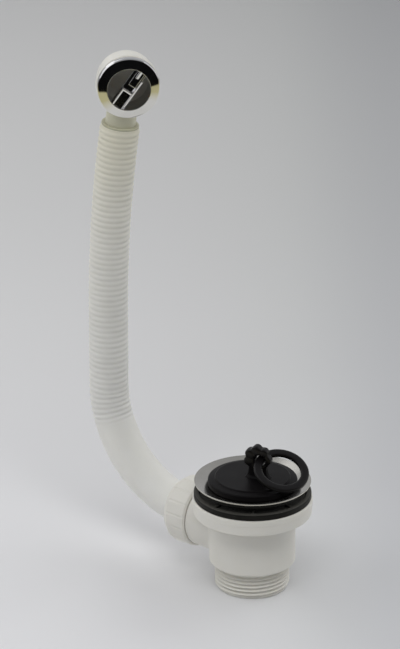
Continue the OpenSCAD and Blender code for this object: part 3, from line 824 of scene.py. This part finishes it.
# Distance from the origin to the far side of a circle of radius rad at (cx, cz), along angle t; zero
# where the ray misses it.
def rayCircle(t, cx, cz, rad):
    along = cx * np.cos(t) + cz * np.sin(t)
    off2 = cx ** 2 + cz ** 2 - along ** 2
    inside = np.maximum(rad ** 2 - off2, 0)
    return np.where(rad ** 2 > off2, along + np.sqrt(inside), 0)


# The eye is a ring about its hole. Its outer edge is the farthest of the disc and the beads along each
# angle, softly joined, and its section is a superellipse between the hole and that edge.
def makeEye(s):
    hx, hz = s["hole"]
    ex, ez = s["eye"][0] - hx, s["eye"][1] - hz
    t = fullTurn(s["columns"])
    far = [rayCircle(t, ex, ez, s["body"])]
    for angle in s["beadAngles"]:
        a = math.radians(angle)
        bx, bz = ex + s["beadCircle"] * math.cos(a), ez + s["beadCircle"] * math.sin(a)
        far.append(rayCircle(t, bx, bz, s["bead"]))
    outer = np.log(np.exp(np.array(far) * s["join"]).sum(axis=0)) / s["join"]
    mid, half = (outer + s["holeRadius"]) / 2, (outer - s["holeRadius"]) / 2
    sec = superEllipse(1, s["half"], s["power"], s["sectionRows"])
    rad = mid[None] + half[None] * sec[:, :1]
    least, more = s["swell"]
    swell = least + more * ramp(outer, outer.min(), outer.max())
    pts = np.stack([hx + rad * np.cos(t), sec[:, 1:] * swell[None], hz + rad * np.sin(t)], -1)
    surface("plug_eye", pts @ turnZ(s["turn"]).T, replaces=["plug"], **ringPart)


# The neck is made of superellipses that widen into the disc.
def makeNeck(s):
    z = np.linspace(s["neckLow"], s["neckHigh"], s["neckRows"])
    flare = s["flare"] * np.exp(-(z - plug["top"]).clip(0) / s["flareHeight"])
    k = (z - s["neckLow"]) / (s["neckHigh"] - s["neckLow"])
    ring = superEllipse(1, 1, s["power"], s["neckColumns"])
    halfX, halfY = s["neckHalf"]
    middle = s["neckAt"] - s["neckShift"] * k
    x = middle[:, None] + ring[None, :, 0] * (halfX - s["neckTaper"] * k + flare)[:, None]
    y = ring[None, :, 1] * (halfY + flare)[:, None]
    pts = np.stack([x, y, np.broadcast_to(z[:, None], x.shape)], -1)
    surface("plug_neck", pts @ turnZ(s["turn"]).T, replaces=["plug"], loop=False, **plugPart)


makeEye(lug)
makeNeck(lug)

pullRing = {
    "outer": 15.6,
    "band": 4.6,
    "thick": 3.0,
    "power": 0.6,
    "tilt": 24.5,
    "swing": 23.5,
    "passAngle": 126.5,       # place on the ring that lies in the eye's hole
    "columns": 160,
    "sectionRows": 36,
}


# A ring of superellipse section, tilted about its place in the eye's hole.
def makeRing(s):
    mid = s["outer"] - s["band"] / 2
    sec = superEllipse(s["band"] / 2, s["thick"] / 2, s["power"], s["sectionRows"])
    t = fullTurn(s["columns"])
    rad = mid + sec[:, :1]
    z = np.broadcast_to(sec[:, 1:], (s["sectionRows"], s["columns"]))
    pts = np.stack([rad * np.cos(t), rad * np.sin(t), z], -1)
    a = math.radians(s["passAngle"])
    pts = pts - mid * np.array([math.cos(a), math.sin(a), 0])
    pts = pts @ (turnZ(s["swing"]) @ turnX(s["tilt"])).T
    hinge = np.array([lug["hole"][0], 0, lug["hole"][1]]) @ turnZ(lug["turn"]).T
    surface("pull_ring_band", pts + hinge, body="ring", replaces=["pull_ring"], **ringPart)


makeRing(pullRing)
print("stage 7: plug and ring made")

# overflow head

head = {
    "neckLength": 26.7,
    "turn": 7.0,
    "faceOut": 8.5,           # from the neck's axis forward to the elbow's face
    "roseDepth": 4.8,
    "seal": 2.2,
    "elbowDepth": 16.2,
}
endOfHose = hoseFrame(np.array([hoseLength]))[0][0]
faceY = -head["faceOut"]
sealY = faceY - head["seal"]
frontY = sealY - head["roseDepth"]
backY = faceY + head["elbowDepth"]


# Local head frame: x right, y back, z up the neck, origin where the neck's axis meets the cup's.
def atHead(points):
    local = points @ turnZ(head["turn"]).T + np.array([0, 0, head["neckLength"]])
    return local @ turnY(hose["lean"]).T + endOfHose


# Revolved about the head's axis, depth running back along local y.
def headRevolve(path, columns):
    pts = revolve(path, columns)
    return np.stack([pts[..., 0], pts[..., 2], -pts[..., 1]], -1)


elbow = {
    "cup": 16.3,
    "brim": 17.5,
    "brimDepth": 4.2,
    "inside": 13.5,
    "backInside": 9.0,
    "backOutside": 12.0,
    "wall": 1.7,
    "core": 0.5,              # radius at which the back ends in a fan
    "neck": 8.5,
    "neckBore": 7.0,
    "neckIn": 10.0,           # how far the neck reaches into the hose
    "collar": 9.6,
    "collarLow": -14.8,
    "collarHigh": -12.0,
    "shoulder": -18.5,
    "columns": 144,
    "neckColumns": 96,
}


# The cup is revolved with its brim in front and a rounded back. The neck widens to a collar under it.
def makeElbow(s):
    cup, brim = s["cup"], s["brim"]
    outside = filletPath([(s["inside"], faceY, 0.3), (brim - 0.4, faceY, 0.25),
                          (brim, faceY + 0.5, 0.2), (brim, faceY + s["brimDepth"], 0.5),
                          (cup, faceY + s["brimDepth"] + 0.5, 0.3), (cup, backY - 3.0, 3.2),
                          (s["backOutside"], backY, 4.0), (s["core"], backY)], closed=False)
    backInside = backY - s["wall"]
    inside = filletPath([(s["core"], backInside), (s["backInside"], backInside, 2.0),
                         (s["inside"], backY - 5.4, 1.0), (s["inside"], faceY + 0.4)], closed=False)
    skin = headRevolve(np.concatenate([outside[::-1], inside[::-1]]), s["columns"])
    surface("overflow_elbow_cup", atHead(skin), loop=False, replaces=["overflow_elbow"], **whitePart)
    low = -head["neckLength"] - s["neckIn"]
    neck = filletPath([(s["neckBore"], low), (s["neck"], low, 0.3), (s["neck"], s["shoulder"], 0.8),
                       (s["collar"], s["collarLow"]), (s["collar"], s["collarHigh"]),
                       (s["neckBore"], s["collarHigh"])])
    skin = revolve(neck, s["neckColumns"])
    surface("overflow_elbow_neck", atHead(skin), replaces=["overflow_elbow"], **neckPart)


makeElbow(elbow)

rose = {
    "opening": 12.0,
    "rim": 17.6,
    "rimFall": 20.0,
    "sleeve": 13.35,
    "sleeveLength": 8.6,
    "lean": 28.0,
    "columns": 192,
    # blocks of the bar: name, middle (across, behind the front, along), half sizes, fillet, and how far
    # the front looks down the bar and to its right
    "blocks": (
        ("bar", (0.2, 3.4, 0.0), (3.7, 1.2, 12.2), 0.25, 0, 0),
        ("upper_lug", (0.3, 1.7, 7.0), (2.3, 1.0, 4.8), 0.3, 0, 0),
        ("upper_ridge", (0.0, 0.8, 9.9), (0.95, 0.6, 2.4), 0.3, 0, 27),
        ("lower_lug", (0.3, 1.9, -6.9), (3.0, 0.9, 5.0), 0.25, 0, 0),
        ("lower_left_rail", (-2.8, 1.6, -6.6), (0.72, 0.9, 5.3), 0.25, 0, 27),
        ("lower_end_rail", (0.3, 1.6, -1.6), (3.3, 0.9, 0.62), 0.25, 22, 0),
        ("right_rail", (3.5, 1.6, -2.2), (0.74, 0.9, 9.6), 0.25, 0, 27),
    ),
}


# The rim is revolved: its front falls back by rimFall from the opening to the edge, then a sleeve runs
# back through the basin's wall. The bar and its lugs are rounded blocks, turned to the bar's lean.
def makeRose(s):
    front = frontY - 0.2
    back = (s["rim"] - s["opening"]) * math.tan(math.radians(s["rimFall"]))
    sleeveEnd = sealY + s["sleeveLength"]
    path = filletPath([(s["opening"], front, 0.2), (s["rim"], frontY + back - 0.2, 1.3),
                       (s["rim"], sealY, 0.3), (s["sleeve"], sealY, 0.1), (s["sleeve"], sleeveEnd, 0.3),
                       (s["opening"], sleeveEnd, 0.3)], steps=8)
    rim = atHead(headRevolve(path, s["columns"]))
    surface("overflow_rose_rim", rim, replaces=["overflow_rose"], **chromePart)
    for name, (x, y, z), half, fillet, down, right in s["blocks"]:
        part = block((0, 0, 0), half, fillet) @ (turnZ(right) @ turnX(down)).T
        part = (part + np.array([x, frontY + y, z])) @ turnY(s["lean"]).T
        surface("overflow_rose_" + name, atHead(part), loop=False, replaces=["overflow_rose"],
                **chromePart)


makeRose(rose)
print("stage 8: head made")

# carried-over solids

solidMaterials = {
    "waste_body": whitePlastic,
    "hub_nut": turnedBrass,
    "centre_screw": turnedSteel,
    "strainer": pressedSteel,
    "strainer_seal": gasketRubber,
    "branch_washer": whitePlastic,
    "branch_seal": greyRubber,
    "neck_seal": milkyRubber,
    "rose_seal": paleFoam,
}
for name, material in solidMaterials.items():
    mesh = nodes[name].data
    mesh.materials.clear()
    mesh.materials.append(material)

# floor

floorReach = 9.0              # metres from the middle to each side
floorMesh = bpy.data.meshes.new("floor")
floorCorners = [(x * floorReach, y * floorReach, 0.0) for y in (-1, 1) for x in (-1, 1)]
floorMesh.from_pydata(floorCorners, [], [(0, 1, 3, 2)])
floorPiece = bpy.data.objects.new("floor", floorMesh)
bpy.context.scene.collection.objects.link(floorPiece)

# Tones along the floor, from left to right and from front to back: a painted light falloff, lighter
# to the left and in front. Glossy rays alone see a painted reflection instead: a warm strip in front of
# the object, and black beyond that strip for an unlit room.
floorTones = {
    "across": ((-0.2, "#F1F1F3"), (-0.09, "#EBEBED"), (-0.03, "#E7E7E9"), (0.03, "#E1E2E3"),
               (0.08, "#D2D3D6"), (0.13, "#CACBCF")),
    "deep": ((-0.1, "#FFFFFF"), (0.05, "#FBFBFB"), (0.14, "#F6F6F6"), (0.3, "#F2F2F1"),
             (0.6, "#E8E8E6"), (1.0, "#EEEEEC")),
    "mirrored": ((-1.0, "#040404"), (-0.52, "#040404"), (-0.46, "#E0D8A6"), (-0.26, "#E0D8A6"),
                 (-0.14, "#F9F8F2"), (0.0, "#F9F8F2")),
}


# Paper sweep, matt: its tone falls towards the right and the back, a painted light falloff, and glossy
# rays see a painted reflection.
def makePaper(s):
    paper, tree, where = newMaterial("paper_matt")
    across = toneAlong(tree, where, "X", s["across"], "B_SPLINE")
    deep = toneAlong(tree, where, "Y", s["deep"], "B_SPLINE")
    tone = addNode(tree, "ShaderNodeMix", multiplied, {mixFirst: across, mixSecond: deep})
    # The painted reflection that glossy rays see in place of the floor's tone.
    mirrored = toneAlong(tree, where, "Y", s["mirrored"])
    rays = addNode(tree, "ShaderNodeLightPath")
    seen = addNode(tree, "ShaderNodeMix", {"data_type": "RGBA"},
                   {mixShare: rays.outputs["Is Glossy Ray"], mixFirst: tone.outputs[mixResult],
                    mixSecond: mirrored})
    shader = addNode(tree, "ShaderNodeBsdfPrincipled", {"Roughness": 0.9, "Specular IOR Level": 0.1},
                     {"Base Color": seen.outputs[mixResult]})
    finishMaterial(tree, shader)
    return paper


floorMesh.materials.append(makePaper(floorTones))

# room and lights

room = {
    "colour": "#F1F2F4",
    "light": 0.29,
    "back": {"From Min": -0.6, "From Max": 0.7, "To Min": 0.006, "To Max": 0.6},
    "ceiling": {"From Min": 0.5, "From Max": 0.9, "To Min": 0.0, "To Max": 0.5},
}


# The room is evenly pale, but mirrors find it dark in front and pale behind and above.
def makeRoom(s):
    world = bpy.data.worlds.new("studio")
    bpy.context.scene.world = world
    world.use_nodes = True
    tree = world.node_tree
    tree.nodes.clear()
    where = addNode(tree, "ShaderNodeTexCoord").outputs["Generated"]
    parts = addNode(tree, "ShaderNodeSeparateXYZ", links={"Vector": where})
    back = addNode(tree, "ShaderNodeMapRange", s["back"], {"Value": parts.outputs["Y"]})
    ceiling = addNode(tree, "ShaderNodeMapRange", s["ceiling"], {"Value": parts.outputs["Z"]})
    bright = addNode(tree, "ShaderNodeMath", {"operation": "MAXIMUM"},
                     {0: back.outputs["Result"], 1: ceiling.outputs["Result"]})
    rays = addNode(tree, "ShaderNodeLightPath")
    level = addNode(tree, "ShaderNodeMix", {"data_type": "FLOAT", "A": s["light"]},
                    {"Factor": rays.outputs["Is Glossy Ray"], "B": bright.outputs["Value"]})
    sky = addNode(tree, "ShaderNodeBackground", {"Color": hexColour(s["colour"])},
                  {"Strength": level.outputs["Result"]})
    addNode(tree, "ShaderNodeOutputWorld", links={"Surface": sky.outputs["Background"]})


makeRoom(room)

lightAim = (0, 0, 0.12)


# An area light of the given size, aimed at the object. Power in watts, lengths in metres. One that is
# not mirrored leaves no highlight.
def softbox(name, place, size, power, mirrored=True):
    data = bpy.data.lights.new(name, "AREA")
    data.shape = "RECTANGLE"
    data.size, data.size_y = size
    data.energy = power
    obj = bpy.data.objects.new(name, data)
    bpy.context.scene.collection.objects.link(obj)
    obj.visible_glossy = mirrored
    obj.location = place
    obj.rotation_euler = (Vector(lightAim) - Vector(place)).to_track_quat("-Z", "Y").to_euler()


softbox("left", (-0.85, -0.15, 0.75), (0.9, 0.9), 2.4)
softbox("right", (0.85, 0.1, 0.6), (0.7, 0.9), 1.3)
softbox("front", (0.0, -0.9, 1.6), (1.2, 0.6), 8.9, mirrored=False)
softbox("back_left", (-0.7, 0.7, 0.8), (0.9, 0.9), 2.2)
softbox("back_right", (0.7, 0.7, 0.8), (0.9, 0.9), 3.2, mirrored=False)
bpy.context.scene.view_settings.view_transform = "Standard"

# camera

# Focal length and width are in pixels, clipping in metres.
camera = {
    "place": (-29.36, -2115.0, 1062.5),
    "pitch": 23.14,
    "focal": 4192.2,
    "width": 400,
    "sensor": 36.0,
    "clip": (0.05, 60.0),
}


def makeCamera(s):
    lens = bpy.data.cameras.new("camera")
    lens.sensor_fit = "HORIZONTAL"
    lens.sensor_width = s["sensor"]
    lens.lens = s["focal"] / s["width"] * s["sensor"]
    lens.clip_start, lens.clip_end = s["clip"]
    obj = bpy.data.objects.new("camera", lens)
    bpy.context.scene.collection.objects.link(obj)
    obj.location = [v * mm for v in s["place"]]
    obj.rotation_euler = (math.radians(90 - s["pitch"]), 0, 0)
    bpy.context.scene.camera = obj


makeCamera(camera)
print("stage 9: studio made")
